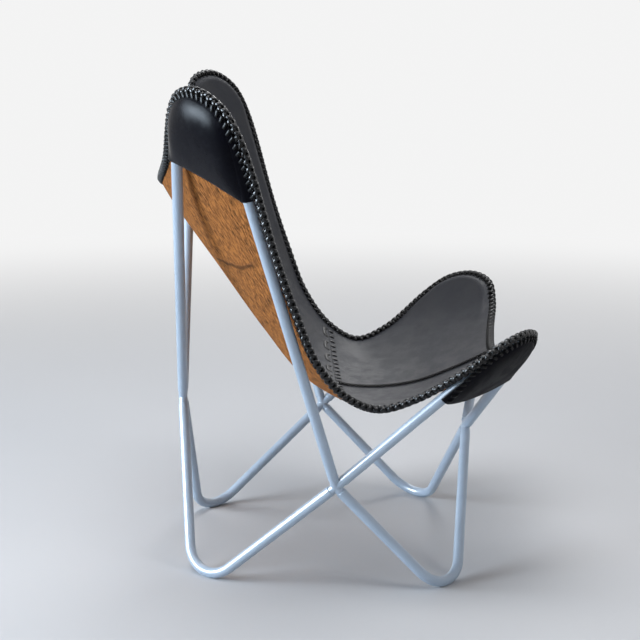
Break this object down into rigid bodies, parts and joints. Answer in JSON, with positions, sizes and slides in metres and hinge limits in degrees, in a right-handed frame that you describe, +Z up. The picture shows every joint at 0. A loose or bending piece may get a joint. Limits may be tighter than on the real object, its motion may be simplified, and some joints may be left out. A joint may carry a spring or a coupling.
{
  "type": "butterfly sling chair",
  "caption": "Butterfly sling lounge chair: laced black leather sling with tan underside, hung by pockets on a knock-down frame of bent, pale blue powder-coated steel tube.",
  "frame": {"origin": "on the floor, under the middle of the chair's outline", "axes": "+Z up, the chair faces -Y, and its left side, as the sitter sees it, is at +X"},
  "size_m": [0.8734, 0.6734, 0.8914],
  "materials": {
    "powder_coat": "satin pale blue powder coat on steel tube, with slight orange peel",
    "connector_steel": "the same powder coat on the cross connectors, bare and darker at the joints",
    "sling_leather": "semi-matt black grained leather, tan brown suede on the underside",
    "pocket_leather": "smooth black leather with a soft gloss, moulded over the tube",
    "lace_leather": "glossy black lacing, whipped over the edge in a braid"
  },
  "bodies": {
    "root": {"foot_rear_right": "powder_coat", "foot_front_right": "powder_coat", "top_rear_right": "powder_coat", "top_front_right": "powder_coat", "foot_rear_left": "powder_coat", "foot_front_left": "powder_coat", "top_rear_left": "powder_coat", "top_front_left": "powder_coat", "cross_right": "connector_steel", "cross_left": "connector_steel", "cross_back": "connector_steel", "cross_front": "connector_steel", "back_panel": "sling_leather", "seat_panel_left": "sling_leather", "seat_panel_right": "sling_leather", "pocket_rear_right": "pocket_leather", "pocket_rear_left": "pocket_leather", "pocket_front_right": "pocket_leather", "pocket_front_left": "pocket_leather", "edge_lacing_right": "lace_leather", "edge_lacing_left": "lace_leather", "seat_seam_lacing": "lace_leather", "crease_lacing": "lace_leather"}
  },
  "joints": []
}
